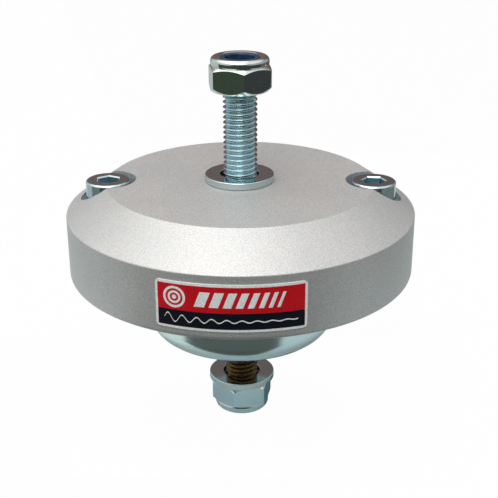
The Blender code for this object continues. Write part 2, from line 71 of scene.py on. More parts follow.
# Camera, fitted to the cover's rim, its bevel and the studs
IMAGE_SIZE = 498
FOCAL_LENGTH_PX = 1006.77
SENSOR_WIDTH = 36.0
CAMERA_PLACE = (2.405 * MM, -280.18 * MM, 169.73 * MM)
CAMERA_PITCH_DOWN = 0.3949
CAMERA_ROLL = -0.0031
CAMERA_CLIP_START = 0.01
CAMERA_TURN = math.radians(1.1)  # round the studs' axis, towards the right cap screw

# Heights and radii taken from the frame
COVER_LOW, COVER_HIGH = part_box("cover")
COVER_RADIUS = COVER_HIGH[0]
COVER_Z = COVER_LOW[2]
COVER_TOP_Z = COVER_HIGH[2]
RING_LOW, RING_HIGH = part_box("retaining_ring")
RING_RADIUS = RING_HIGH[0]
CUP_LOW, CUP_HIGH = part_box("lower_cup")
FLANGE_RADIUS = CUP_HIGH[0]
SCREW_LOW, SCREW_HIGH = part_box("cap_screw_right")
SCREW_CIRCLE = (SCREW_LOW[0] + SCREW_HIGH[0]) / 2
UPPER_PLATE_LOW, UPPER_PLATE_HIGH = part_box("upper_plate")
LOWER_PLATE_LOW, LOWER_PLATE_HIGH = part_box("lower_plate")
RUBBER_LOW, RUBBER_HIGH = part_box("main_rubber")
BUMP_LOW, BUMP_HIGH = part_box("bump_ring")
REBOUND_LOW, REBOUND_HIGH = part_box("rebound_ring")
PIN_LOW, PIN_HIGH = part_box("dowel_pin")
PIN_Y = (PIN_LOW[1] + PIN_HIGH[1]) / 2
PIN_RADIUS = (PIN_HIGH[1] - PIN_LOW[1]) / 2
LABEL_LOW, LABEL_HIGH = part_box("label")

# Clearances, as in the solids
SEAT_GAP = 0.1 * MM
HOLE_GAP = 0.3 * MM
THREAD_GAP = 0.05 * MM

# Clearances that only this script has
SWAY_ROOM = 1.6 * MM  # round the upper stud's head in the rubber
CUTTER_ROOM = 1.0 * MM
HAIR = 0.02 * MM  # too small to be seen

# Cover
TOP_FLAT_RADIUS = COVER_RADIUS - 12.1 * MM
BEVEL_DROP = 8.2 * MM
CREASE_ROUND = 0.5 * MM
RIM_ROUND = 0.6 * MM
SKIRT_EDGE_ROUND = 1.4 * MM
INNER_EDGE_ROUND = 0.3 * MM
CAVITY_RADIUS = 33.51 * MM
BUMP_TRAVEL = 3.5 * MM
CEILING_Z = BUMP_HIGH[2] + BUMP_TRAVEL
CORE_RADIUS = 25.3 * MM
COVER_TOP_THICKNESS = 6.0 * MM
COUNTERBORE_RADIUS = 8.25 * MM
STUD_HOLE_RADIUS = 5.2 * MM
CUT_EDGE_BREAK = 0.14 * MM

# Hardware
STUD_CREST = 4.96 * MM
STUD_ROOT = 4.1 * MM
STUD_PITCH = 1.5 * MM
STUD_HEAD_RADIUS = 8.0 * MM
STUD_HEAD_HEIGHT = 3.0 * MM
UPPER_STUD_ROOT_Z = 0.85 * MM  # a thread root on the +X side, give or take whole turns
THREAD_END_DEPTH = 0.05 * MM  # of a chamfered end's rim, below the root
SCREW_CREST = 3.98 * MM
SCREW_ROOT = 3.25 * MM
SCREW_PITCH = 1.25 * MM
SCREW_LENGTH = 16.0 * MM
SCREW_OVERLAP = 0.5 * MM  # of the thread into the head
SCREW_HOLE_RADIUS = 4.25 * MM
CAP_HEAD_RADIUS = 6.5 * MM
CAP_HEAD_HEIGHT = 8.0 * MM
CAP_HEAD_ROUNDS = (0.75 * MM, 0.2 * MM)  # above and below
CAP_HEAD_EDGE = 0.06 * MM
SOCKET_ACROSS_FLATS = 6.0 * MM
SOCKET_DEPTH = 4.3 * MM
SOCKET_CHAMFER = 0.35 * MM
SOCKET_TIP = 1.2 * MM  # drill point below the flats
WASHER_HOLE_RADIUS = 5.7 * MM
WASHER_ROUNDS = (0.2 * MM, 0.3 * MM, 0.2 * MM, 0.15 * MM)  # from the hole's top outwards
WASHER_RIM_DEPTH = 0.2 * MM
NUT_ACROSS_FLATS = 16.8 * MM
NUT_HEIGHT = 9.7 * MM
NUT_FACE_RADIUS = 8.15 * MM
NUT_FACE_SLOPE = math.tan(math.radians(45.0))
NUT_CORNER_ROUND = 0.9 * MM
NUT_EDGE_STRIP = 0.25 * MM  # narrow faces that keep the shading of the sides even
NUT_EDGE = 0.07 * MM
NUT_BORE_CHAMFER = 0.8 * MM
# Painted shade: the nut's bore gets a very dark steel out to this depth
NUT_BORE_SHADE_DEPTH = 0.6 * MM  # of the darker metal, from the bore outwards
CROWN_HEIGHT = 2.55 * MM
CROWN_SLOPE = math.tan(math.radians(30.0))
CROWN_RADIUS = 8.35 * MM
CROWN_ROUND = 1.3 * MM
CROWN_BULGE = range(110, -10, -10)  # degrees of its round, from the inside outwards
CROWN_LIP_RADIUS = 5.65 * MM
CROWN_LIP_THICKNESS = 0.8 * MM
CROWN_LIP_ROUND = 0.2 * MM
CROWN_DISH = 0.4 * MM
NECK_RADIUS = 8.1 * MM
NECK_HEIGHT = 0.45 * MM
NECK_ROUND = 0.15 * MM
INSERT_SEAT = 7.0 * MM
INSERT_OUTER_RADIUS = 6.3 * MM
INSERT_BORE_RADIUS = 4.3 * MM
INSERT_THICKNESS = 1.7 * MM
INSERT_ROUND = 0.1 * MM
INSERT_BORE_ROUND = 0.4 * MM
COLLAR_GAP = 0.06 * MM
COLLAR_DROP = 0.2 * MM  # collar below the crown's top
COLLAR_BORE_ROUND = 0.5 * MM
COLLAR_LIP_ROUND = 0.25 * MM
HEXAGON_START = math.radians(30.0)  # a corner lies on the Y axis
HEXAGON_REACH = (NUT_ACROSS_FLATS / 2 - NUT_CORNER_ROUND) / math.cos(math.pi / 6)
CORNER_ANGLE = math.asin(NUT_CORNER_ROUND / 2 / HEXAGON_REACH)  # where its round ends
UPPER_NUT_TURN = math.radians(9.1)
LOWER_NUT_TURN = math.radians(-12.7)
SOCKET_TURNS = {"left": math.radians(4.1), "right": math.radians(24.1)}

# Cup, ring and rubber
CUP_RADIUS = 28.2 * MM
CUP_WALL = 2.0 * MM
CUP_CORNER = 6.2 * MM
CUP_BEND = 1.6 * MM
LIP_THICKNESS = 3.5 * MM
RING_BORE_RADIUS = 29.91 * MM
RUBBER_TOP_RADIUS = 23.8 * MM
RUBBER_WAIST_RADIUS = 19.0 * MM
RUBBER_FOOT_RADIUS = 19.5 * MM
RUBBER_LAND = 2.5 * MM
RUBBER_WAIST_REACH = 4.0 * MM  # of the waist's corners, up and down from its middle
RUBBER_WAIST_ROUND = 10.0 * MM
RUBBER_RING_BORE = 28.7 * MM
PIN_ROUNDS = (0.5 * MM, 0.5 * MM)

# Label
LABEL_START = math.radians(-23.9)
LABEL_END = math.radians(20.9)
LABEL_CORNER = 1.1 * MM
LABEL_BORDER = 0.7 * MM
LABEL_BAND_SHARE = 0.385
LABEL_LEFT = COVER_RADIUS * LABEL_START
LABEL_RIGHT = COVER_RADIUS * LABEL_END
LABEL_BOTTOM = LABEL_LOW[2]
LABEL_TOP = LABEL_HIGH[2]
FIELD_LEFT = LABEL_LEFT + LABEL_BORDER
FIELD_RIGHT = LABEL_RIGHT - LABEL_BORDER
FIELD_BOTTOM = LABEL_BOTTOM + LABEL_BORDER
FIELD_TOP = LABEL_TOP - LABEL_BORDER
BAND_TOP = FIELD_BOTTOM + LABEL_BAND_SHARE * (FIELD_TOP - FIELD_BOTTOM)
FIELD_CORNER = 0.12 * MM
LAYER = 0.02 * MM
LAYER_GAP = 0.003 * MM
FILM_THICKNESS = 0.18 * MM
RINGS_INSET = 4.6 * MM  # from the field's left edge to the rings' centre
RINGS = (  # inner radius, outer radius and steps
    (2.35 * MM, 3.0 * MM, 64), (1.15 * MM, 1.75 * MM, 64), (0.0, 0.6 * MM, 32),
)
BARS_INSET = 5.2 * MM  # from the rings' centre to the first bar
BAR_COUNT = 8
BAR_REACH = 2.1 * MM  # up and down from the middle
BAR_WIDTH = 2.7 * MM
BAR_NARROWING = 0.27 * MM  # from each bar to the next
BAR_SPACE = 1.15 * MM
BAR_LEAN = 1.6 * MM
WAVE_INSET = 1.8 * MM
WAVE_HEIGHT = 1.35 * MM
WAVE_WEIGHT = 0.32 * MM
WAVE_COUNT = 9
WAVE_DECAY = 2.4
WAVE_STEPS = 220

# Facets
ROUND_STEPS = 256
SMALL_STEPS = 128
THREAD_STEPS = 72
PIN_STEPS = 48
SCREW_THREAD_STEPS = 48
SPARE_TURNS = 2  # of a thread past each end, before the ends are cut
FILLET_ANGLE = math.radians(12.0)
SHARP_ANGLE = math.radians(32.0)
BEVELLED_SHARP_ANGLE = math.radians(50.0)
ON_AXIS = 1e-9
WELD_DISTANCE = 1e-7

# Share of up in a face's normal, below which the face counts as a wall
STEEP = 0.5
COUNTERBORE_STEEP = 0.8  # takes in the broken edge of the cut


# Shapes

def rounded(corners, closed=True):
    """Turn (r, z) or (r, z, fillet) corners into points, with a fine arc at each fillet."""
    points = []
    count = len(corners)
    for i, corner in enumerate(corners):
        here = Vector(corner[:2])
        radius = corner[2] if len(corner) > 2 else 0.0
        at_end = not closed and i in (0, count - 1)
        if radius <= 0.0 or at_end:
            points.append(tuple(here))
            continue
        back = (Vector(corners[i - 1][:2]) - here).normalized()
        ahead = (Vector(corners[(i + 1) % count][:2]) - here).normalized()
        half_angle = back.angle(ahead) / 2
        centre = here + (back + ahead).normalized() * (radius / math.sin(half_angle))
        tangent = radius / math.tan(half_angle)
        first = here + back * tangent - centre
        last = here + ahead * tangent - centre
        sweep = first.angle_signed(last)
        steps = max(2, math.ceil(abs(sweep) / FILLET_ANGLE))
        for step in range(steps + 1):
            turn = Matrix.Rotation(-sweep * step / steps, 2)
            points.append(tuple(centre + turn @ first))
    return points


def skin(shape, upper, lower):
    """Faces between two rings of vertices. A ring of one vertex is a point on the axis."""
    count = max(len(upper), len(lower))
    for j in range(count):
        k = (j + 1) % count
        corners = [upper[j % len(upper)], lower[j % len(lower)]]
        corners += [lower[k % len(lower)], upper[k % len(upper)]]
        face = list(dict.fromkeys(corners))
        if len(face) > 2:
            shape.faces.new(face)


def polar(radius, angle, height):
    """A point at an angle round the axis."""
    return (radius * math.cos(angle), radius * math.sin(angle), height)


def turned_shape(points, steps=ROUND_STEPS):
    """A solid of revolution. The (r, z) profile runs down its outer side."""
    shape = bmesh.new()
    rings = []
    for radius, height in points:
        count = 1 if radius < ON_AXIS else steps
        angles = [2 * math.pi * j / steps for j in range(count)]
        rings.append([shape.verts.new(polar(radius, angle, height)) for angle in angles])
    for upper, lower in zip(rings, rings[1:] + rings[:1]):
        skin(shape, upper, lower)
    return shape


def disc_profile(radius, low, high, rounds=(INNER_EDGE_ROUND,) * 2):
    """Half section of a solid disc, with the rounds of its upper and lower edge."""
    corners = [(0.0, high), (radius, high, rounds[0]), (radius, low, rounds[1]), (0.0, low)]
    return rounded(corners, closed=False)


def ring_profile(inner, outer, low, high, rounds=(INNER_EDGE_ROUND,) * 4):
    """Section of a flat ring, with the rounds of its corners from the bore's top outwards."""
    corners = ((inner, high), (outer, high), (outer, low), (inner, low))
    return rounded([(*corner, fillet) for corner, fillet in zip(corners, rounds)])


def column_shape(rows, angles):
    """A closed solid from rows of (radius, height), each a number or a function of angle."""
    shape = bmesh.new()
    rings = []
    for radius, height in rows:
        ring = []
        for angle in angles:
            r = radius(angle) if callable(radius) else radius
            z = height(angle) if callable(height) else height
            ring.append(shape.verts.new(polar(r, angle, z)))
        rings.append(ring)
    for upper, lower in zip(rings, rings[1:] + rings[:1]):
        skin(shape, upper, lower)
    return shape


def split(shape, place, normal, clear_outer):
    """Split a shape along a plane, and clear what is in front of it if asked."""
    geom = shape.verts[:] + shape.edges[:] + shape.faces[:]
    bmesh.ops.bisect_plane(
        shape, geom=geom, plane_co=place, plane_no=normal, clear_outer=clear_outer
    )


def add_object(name, shape, place=(0.0, 0.0, 0.0), flip=False, turn=0.0):
    """Bake the place into the mesh, so that the object itself sits at the origin."""
    matrix = Matrix.Translation(place) @ Matrix.Rotation(turn, 4, "Z")
    if flip:
        matrix = matrix @ Matrix.Rotation(math.pi, 4, "X")
    bmesh.ops.transform(shape, matrix=matrix, verts=shape.verts)
    mesh = bpy.data.meshes.new(name)
    shape.to_mesh(mesh)
    shape.free()
    obj = bpy.data.objects.new(name, mesh)
    bpy.context.scene.collection.objects.link(obj)
    return obj


def bake(obj):
    """Replace an object's mesh by its evaluated one, without its modifiers."""
    bpy.context.view_layer.update()
    evaluated = obj.evaluated_get(bpy.context.evaluated_depsgraph_get())
    mesh = bpy.data.meshes.new_from_object(evaluated)
    obj.modifiers.clear()
    obj.data = mesh


def combine(obj, other, operation):
    """Join a helper to an object, or cut it away, and remove the helper."""
    boolean = obj.modifiers.new("Combine", "BOOLEAN")
    boolean.operation = operation
    boolean.solver = "EXACT"
    boolean.object = other
    bake(obj)
    bpy.data.objects.remove(other, do_unlink=True)


def shade(obj, angle):
    """Smooth shading, with sharp edges from an angle on."""
    obj.data.shade_smooth()
    obj.data.set_sharp_from_angle(angle=angle)


def dress(obj, body, material, nodes=(), edge=0.0):
    """Shade a piece, give it its material and set it on the body that carries it."""
    shade(obj, SHARP_ANGLE)
    if edge > 0.0:
        bevel = obj.modifiers.new("Edge", "BEVEL")
        bevel.width = edge
        bevel.segments = 2
        bevel.limit_method = "ANGLE"
        bevel.angle_limit = SHARP_ANGLE
        bake(obj)
        shade(obj, BEVELLED_SHARP_ANGLE)
    obj.modifiers.new("Normals", "WEIGHTED_NORMAL").keep_sharp = True
    obj.data.materials.clear()
    obj.data.materials.append(material)
    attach(obj, body)
    if nodes:
        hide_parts(*nodes)


def repaint(obj, material, chosen):
    """Give the faces that are chosen by their middle and normal another material."""
    obj.data.materials.append(material)
    for face in obj.data.polygons:
        if chosen(face.center, face.normal):
            face.material_index = len(obj.data.materials) - 1


# Materials

NOISE_RANGE = (0.3, 0.7)  # what a noise mostly keeps to
BORED_DRIFT = 0.05


def new_material(name):
    """A material with Blender's first nodes."""
    material = bpy.data.materials.new(name)
    material.use_nodes = True
    return material


def fill(node, values):
    """Set a node's inputs, each named or numbered."""
    for socket, value in values.items():
        node.inputs[socket].default_value = value


class Surface:
    """A Principled material whose colour, roughness and bump come from noise in metres."""

    def __init__(self, name, metallic, roughness, colour):
        self.material = new_material(name)
        tree = self.material.node_tree
        self.new = tree.nodes.new
        self.link = tree.links.new
        self.shader = tree.nodes["Principled BSDF"]
        basis = {"Metallic": metallic, "Roughness": roughness, "Base Color": (*colour, 1.0)}
        fill(self.shader, basis)
        self.coordinates = self.new("ShaderNodeTexCoord").outputs["Object"]
        self.normal = None

    def noise(self, size, detail, stretch=None):
        """Noise whose features are about the given size, in metres."""
        source = self.coordinates
        if stretch is not None:
            mapping = self.new("ShaderNodeMapping")
            fill(mapping, {"Scale": stretch})
            self.link(source, mapping.inputs["Vector"])
            source = mapping.outputs["Vector"]
        texture = self.new("ShaderNodeTexNoise")
        fill(texture, {"Scale": 1.0 / size, "Detail": detail})
        self.link(source, texture.inputs["Vector"])
        return texture.outputs["Fac"]

    def ramp(self, factor, stops):
        """A colour ramp with (position, colour) stops."""
        node = self.new("ShaderNodeValToRGB")
        elements = node.color_ramp.elements
        while len(elements) < len(stops):
            elements.new(0.5)
        for element, (position, colour) in zip(elements, stops):
            element.position = position
            element.color = (*colour, 1.0)
        self.link(factor, node.inputs["Fac"])
        return node.outputs["Color"]

    def multiply(self, first, second):
        """The product of two colours."""
        node = self.new("ShaderNodeMix")
        node.data_type = "RGBA"
        node.blend_type = "MULTIPLY"
        fill(node, {"Factor": 1.0})
        self.link(first, node.inputs["A"])
        self.link(second, node.inputs["B"])
        return node.outputs["Result"]

    def colour(self, output):
        """Take the base colour from a node's output."""
        self.link(output, self.shader.inputs["Base Color"])

    def roughness(self, factor, low, high):
        """Roughness that goes from one value to another with a noise."""
        node = self.new("ShaderNodeMapRange")
        fill(node, {"From Min": NOISE_RANGE[0], "From Max": NOISE_RANGE[1]})
        fill(node, {"To Min": low, "To Max": high})
        self.link(factor, node.inputs["Value"])
        self.link(node.outputs["Result"], self.shader.inputs["Roughness"])

    def bump(self, factor, strength, depth):
        """A bump on top of those that the surface already has."""
        node = self.new("ShaderNodeBump")
        fill(node, {"Strength": strength, "Distance": depth})
        self.link(factor, node.inputs["Height"])
        if self.normal is not None:
            self.link(self.normal, node.inputs["Normal"])
        self.normal = node.outputs["Normal"]
        self.link(self.normal, self.shader.inputs["Normal"])


def anodised_aluminium():
    """Turned, bead-blasted and clear anodised: a fine even grain with faint clouds."""
    surface = Surface("anodised_aluminium", 0.52, 0.48, (0.66, 0.65, 0.64))
    grain = surface.noise(0.24 * MM, 2.0)
    clouds = surface.noise(14.0 * MM, 2.0)
    fine = surface.ramp(grain, [(0.3, (0.44, 0.437, 0.432)), (0.7, (0.73, 0.723, 0.718))])
    broad = surface.ramp(clouds, [(0.35, (0.96, 0.97, 0.97)), (0.65, (1.0, 0.995, 0.985))])
    surface.colour(surface.multiply(fine, broad))
    surface.roughness(grain, 0.43, 0.53)
    surface.bump(grain, 0.22, 0.03 * MM)
    surface.bump(surface.noise(0.15 * MM, 1.0), 0.12, 0.015 * MM)
    return surface.material


def zinc(name, tint, roughness_low, roughness_high, wave):
    """Bright zinc plate: a bluish metal whose passivation drifts to straw and violet."""
    surface = Surface(name, 1.0, roughness_low, tint)
    drift = surface.noise(3.5 * MM, 2.0)
    straw = tuple(c * f for c, f in zip(tint, (1.03, 1.01, 0.96)))
    violet = tuple(c * f for c, f in zip(tint, (1.00, 0.98, 1.02)))
    colours = surface.ramp(drift, [(0.36, violet), (0.5, tint), (0.66, straw)])
    speck = surface.noise(0.5 * MM, 2.0)
    specks = surface.ramp(speck, [(0.30, (0.93, 0.94, 0.95)), (0.5, (1.0, 1.0, 1.0))])
    surface.colour(surface.multiply(colours, specks))
    surface.roughness(speck, roughness_low, roughness_high)
    surface.bump(surface.noise(2.5 * MM, 1.0), wave, 0.01 * MM)
    return surface.material


def bored_metal(name, metallic, colour, roughness):
    """Metal for the walls of bores, sockets and holes, with faint tool marks. Its very dark use in
    holes is painted shade.
    """
    surface = Surface(name, metallic, roughness, colour)
    marks = surface.noise(0.6 * MM, 2.0, (1.0, 1.0, 4.0))
    surface.roughness(marks, roughness - BORED_DRIFT, roughness + BORED_DRIFT)
    surface.bump(marks, 0.10, 0.01 * MM)
    return surface.material


def yellow_zinc():
    """Yellow passivated zinc: brass to brown, darker in patches."""
    surface = Surface("yellow_zinc_steel", 1.0, 0.3, (0.55, 0.36, 0.18))
    drift = surface.noise(2.2 * MM, 3.0)
    stops = [(0.3, (0.08, 0.045, 0.022)), (0.5, (0.18, 0.105, 0.045)), (0.7, (0.12, 0.10, 0.05))]
    surface.colour(surface.ramp(drift, stops))
    surface.roughness(surface.noise(0.4 * MM, 2.0), 0.18, 0.30)
    return surface.material


def nylon():
    """Moulded blue nylon with a soft sheen."""
    surface = Surface("blue_nylon", 0.0, 0.36, (0.02, 0.06, 0.28))
    drift = surface.noise(1.2 * MM, 2.0)
    surface.colour(
        surface.ramp(drift, [(0.35, (0.004, 0.022, 0.062)), (0.65, (0.009, 0.040, 0.10))])
    )
    surface.roughness(drift, 0.30, 0.42)
    surface.bump(surface.noise(0.3 * MM, 2.0), 0.15, 0.02 * MM)
    return surface.material


def rubber():
    """Moulded black rubber, matt with a faint bloom."""
    surface = Surface("black_rubber", 0.0, 0.68, (0.018, 0.018, 0.019))
    bloom = surface.noise(4.0 * MM, 4.0)
    surface.colour(
        surface.ramp(bloom, [(0.35, (0.012, 0.012, 0.013)), (0.7, (0.034, 0.034, 0.036))])
    )
    surface.roughness(bloom, 0.60, 0.78)
    surface.bump(surface.noise(0.25 * MM, 2.0), 0.25, 0.03 * MM)
    return surface.material


def film(name, colour):
    """Printed film: one ink with a slight mottle under a semi-gloss skin."""
    surface = Surface(name, 0.0, 0.32, colour)
    mottle = surface.noise(0.6 * MM, 3.0)
    darker = tuple(0.90 * c for c in colour)
    lighter = tuple(min(1.0, 1.08 * c) for c in colour)
    surface.colour(surface.ramp(mottle, [(0.35, darker), (0.65, lighter)]))
    surface.roughness(mottle, 0.28, 0.38)
    surface.bump(surface.noise(1.0 * MM, 1.0), 0.05, 0.01 * MM)
    return surface.material


ALUMINIUM = anodised_aluminium()
ZINC = zinc("zinc_plated_steel", (0.63, 0.76, 0.79), 0.08, 0.13, 0.10)
CUP_ZINC = zinc("pressed_cup_steel", (0.64, 0.78, 0.79), 0.16, 0.24, 0.12)
NUT_ZINC = zinc("nut_zinc", (0.76, 0.81, 0.77), 0.08, 0.13, 0.10)
THREAD_ZINC = zinc("thread_zinc", (0.48, 0.65, 0.70), 0.16, 0.22, 0.05)
# Counterbore walls: machined smoother and more metallic than the blasted top; their bluish tint is
# painted shade
BORED_ALUMINIUM_SHADE = bored_metal("bored_aluminium_painted_shade", 0.65, (0.60, 0.65, 0.68), 0.30)
# Socket walls: darker, bluer and rougher than the head's zinc
BORED_STEEL = bored_metal("bored_steel", 1.0, (0.40, 0.56, 0.62), 0.34)
# Painted shade: a darker zinc for the upper washer's rim
SHADED_RIM_ZINC = zinc("rim_zinc_painted_shade", (0.51, 0.60, 0.61), 0.16, 0.24, 0.10)
# Painted shade: a very dark, dull steel for the walls of holes and bores that light hardly reaches
HOLE_SHADE_STEEL = bored_metal("hole_steel_painted_shade", 1.0, (0.10, 0.12, 0.13), 0.50)
YELLOW_ZINC = yellow_zinc()
NYLON = nylon()
RUBBER = rubber()
INK_WHITE = film("label_white_ink", (0.93, 0.94, 0.93))
INK_RED = film("label_red_ink", (0.64, 0.004, 0.012))
INK_NAVY = film("label_navy_ink", (0.0012, 0.003, 0.010))


# Cover and ring

def counterbore_shape():
    """Counterbore and clearance hole of a cap screw."""
    head_seat = COVER_TOP_Z - CAP_HEAD_HEIGHT - SEAT_GAP
    above = COVER_TOP_Z + CAP_HEAD_HEIGHT
    below = COVER_Z - CAP_HEAD_HEIGHT
    points = [
        (0.0, above), (COUNTERBORE_RADIUS, above), (COUNTERBORE_RADIUS, head_seat),
        (SCREW_HOLE_RADIUS, head_seat), (SCREW_HOLE_RADIUS, below), (0.0, below),
    ]
    return turned_shape(points, SMALL_STEPS)


def cut_pin_hole(obj, top):
    """Cut the dowel pin's hole, from its top down and out of the piece."""
    radius = PIN_RADIUS + HOLE_GAP / 2
    bottom = PIN_LOW[2] - COVER_TOP_THICKNESS
    hole = [(0.0, top), (radius, top), (radius, bottom), (0.0, bottom)]
    shape = turned_shape(hole, PIN_STEPS)
    combine(obj, add_object("pin_cutter", shape, (0.0, PIN_Y, 0.0)), "DIFFERENCE")


def cut_counterbores(obj):
    """Cut the holes of both cap screws."""
    for side in (-1, 1):
        place = (side * SCREW_CIRCLE, 0.0, 0.0)
        combine(obj, add_object("screw_cutter", counterbore_shape(), place), "DIFFERENCE")


def make_cover():
    """Turned cover: flat top, wide bevel, skirt, and a stepped cavity below."""
    ring_seat = RING_RADIUS + HOLE_GAP
    inner_top = COVER_TOP_Z - COVER_TOP_THICKNESS
    profile = rounded([
        (STUD_HOLE_RADIUS, COVER_TOP_Z, INNER_EDGE_ROUND),
        (TOP_FLAT_RADIUS, COVER_TOP_Z, CREASE_ROUND),
        (COVER_RADIUS, COVER_TOP_Z - BEVEL_DROP, RIM_ROUND),
        (COVER_RADIUS, COVER_Z, SKIRT_EDGE_ROUND),
        (ring_seat, COVER_Z, INNER_EDGE_ROUND),
        (ring_seat, RING_HIGH[2] + SEAT_GAP),
        (CAVITY_RADIUS, RING_HIGH[2] + SEAT_GAP),
        (CAVITY_RADIUS, CEILING_Z, INNER_EDGE_ROUND),
        (CORE_RADIUS, CEILING_Z, INNER_EDGE_ROUND),
        (CORE_RADIUS, inner_top, INNER_EDGE_ROUND),
        (STUD_HOLE_RADIUS, inner_top),
    ])
    cover = add_object("cover_turned", turned_shape(profile))
    cut_counterbores(cover)
    cut_pin_hole(cover, PIN_HIGH[2] + HOLE_GAP)
    dress(cover, HOUSING, ALUMINIUM, ["cover"], CUT_EDGE_BREAK)

    def in_counterbore(middle, normal):
        off_axis = math.hypot(abs(middle.x) - SCREW_CIRCLE, middle.y)
        inside = off_axis < COUNTERBORE_RADIUS + CUT_EDGE_BREAK
        return inside and abs(normal.z) < COUNTERBORE_STEEP

    # Machined counterbore walls, whose bluish tint is painted shade
    repaint(cover, BORED_ALUMINIUM_SHADE, in_counterbore)


def make_retaining_ring():
    """Steel ring in the skirt, whose lip reaches under the cup's flange."""
    lip_top = RING_LOW[2] + LIP_THICKNESS
    profile = rounded([
        (CAVITY_RADIUS, RING_HIGH[2], INNER_EDGE_ROUND),
        (RING_RADIUS, RING_HIGH[2], INNER_EDGE_ROUND),
        (RING_RADIUS, RING_LOW[2], 2 * INNER_EDGE_ROUND),
        (RING_BORE_RADIUS, RING_LOW[2], 2 * INNER_EDGE_ROUND),
        (RING_BORE_RADIUS, lip_top, INNER_EDGE_ROUND),
        (CAVITY_RADIUS, lip_top),
    ])
    ring = add_object("retaining_ring_turned", turned_shape(profile))
    cut_counterbores(ring)
    dress(ring, HOUSING, ZINC, ["retaining_ring"], CUT_EDGE_BREAK)


# Threads, screws, washers and nuts

def thread_profile(crest, root):
    """Shares of one pitch and their radii: 60 degree flanks, rounded root and crest."""
    depth = crest - root
    rise = [
        (0.00, 0.0), (0.07, 0.02), (0.12, 0.09), (0.17, 0.22), (0.30, 0.58),
        (0.37, 0.78), (0.41, 0.88), (0.44, 0.945), (0.47, 0.985), (0.50, 1.0),
    ]
    fall = [(1.0 - share, level) for share, level in reversed(rise[1:-1])]
    return [(share, root + level * depth) for share, level in rise + fall]


def thread_shape(low, high, crest, root, pitch, root_z, chamfer_low, chamfer_high, steps):
    """A right-hand threaded rod. Its rows follow the helix, and its ends are cut flat."""
    profile = thread_profile(crest, root)
    per_turn = len(profile)
    first_turn = math.floor((low - root_z) / pitch) - SPARE_TURNS
    turns = math.ceil((high - low) / pitch) + 2 * SPARE_TURNS
    shape = bmesh.new()
    rows = []
    for i in range(turns * per_turn):
        share, radius = profile[i % per_turn]
        base = root_z + (first_turn + i // per_turn + share) * pitch
        row = []
        for j in range(steps):
            z = base + pitch * j / steps
            r = radius
            if chamfer_high:
                r = min(r, root - THREAD_END_DEPTH + max(0.0, high - z))
            if chamfer_low:
                r = min(r, root - THREAD_END_DEPTH + max(0.0, z - low))
            row.append(shape.verts.new(polar(r, 2 * math.pi * j / steps, z)))
        rows.append(row)
    for i in range(len(rows) - 1):
        for j in range(steps - 1):
            shape.faces.new((rows[i][j], rows[i][j + 1], rows[i + 1][j + 1], rows[i + 1][j]))
        next_turn = i + per_turn
        if next_turn + 1 < len(rows):
            first, second = rows[next_turn][0], rows[next_turn + 1][0]
            shape.faces.new((rows[i][-1], first, second, rows[i + 1][-1]))
    split(shape, (0.0, 0.0, low), (0.0, 0.0, -1.0), clear_outer=True)
    split(shape, (0.0, 0.0, high), (0.0, 0.0, 1.0), clear_outer=True)
    loose = [vert for vert in shape.verts if not vert.link_faces]
    bmesh.ops.delete(shape, geom=loose, context="VERTS")
    open_edges = [edge for edge in shape.edges if len(edge.link_faces) == 1]
    bmesh.ops.holes_fill(shape, edges=open_edges, sides=0)
    bmesh.ops.recalc_face_normals(shape, faces=shape.faces)
    return shape


def make_stud(name, node, body, material, seat, end, root_z):
    """Headed M10 stud, from the seat of its head to its free end."""
    up = end > seat
    thread = thread_shape(
        min(seat, end), max(seat, end), STUD_CREST, STUD_ROOT, STUD_PITCH,
        root_z, chamfer_low=not up, chamfer_high=up, steps=THREAD_STEPS,
    )
    stud = add_object(name, thread)
    way = 1 if up else -1
    ends = (seat + way * HAIR, seat - way * STUD_HEAD_HEIGHT)
    profile = disc_profile(STUD_HEAD_RADIUS, min(ends), max(ends))
    head = add_object(name + "_head", turned_shape(profile, SMALL_STEPS))
    combine(stud, head, "UNION")
    dress(stud, body, material, [node])


def make_cap_screw(side, label):
    """M8 socket cap screw with a plain head and a chamfered hexagon socket."""
    top = COVER_TOP_Z
    head_low = top - CAP_HEAD_HEIGHT
    profile = disc_profile(CAP_HEAD_RADIUS, head_low, top, CAP_HEAD_ROUNDS)
    shape = turned_shape(profile, SMALL_STEPS)
    screw = add_object("cap_screw_body_" + label, shape)
    thread = thread_shape(
        head_low - SCREW_LENGTH, head_low + SCREW_OVERLAP, SCREW_CREST, SCREW_ROOT, SCREW_PITCH,
        root_z=0.0, chamfer_low=True, chamfer_high=False, steps=SCREW_THREAD_STEPS,
    )
    combine(screw, add_object("screw_thread", thread), "UNION")
    corner = SOCKET_ACROSS_FLATS / math.sqrt(3.0)
    socket = [
        (0.0, top + CUTTER_ROOM),
        (corner + SOCKET_CHAMFER + CUTTER_ROOM, top + CUTTER_ROOM),
        (corner, top - SOCKET_CHAMFER),
        (corner, top - SOCKET_DEPTH),
        (0.0, top - SOCKET_DEPTH - SOCKET_TIP),
    ]
    turn = SOCKET_TURNS[label] + HEXAGON_START
    cutter = add_object("socket_cutter", turned_shape(socket, 6), turn=turn)
    combine(screw, cutter, "DIFFERENCE")
    screw.data.transform(Matrix.Translation((side * SCREW_CIRCLE, 0.0, 0.0)))
    dress(screw, HOUSING, ZINC, ["cap_screw_" + label], CAP_HEAD_EDGE)

    def in_socket(middle, normal):
        off_axis = math.hypot(abs(middle.x) - SCREW_CIRCLE, middle.y)
        return off_axis < corner and middle.z < top - SOCKET_CHAMFER

    repaint(screw, BORED_STEEL, in_socket)


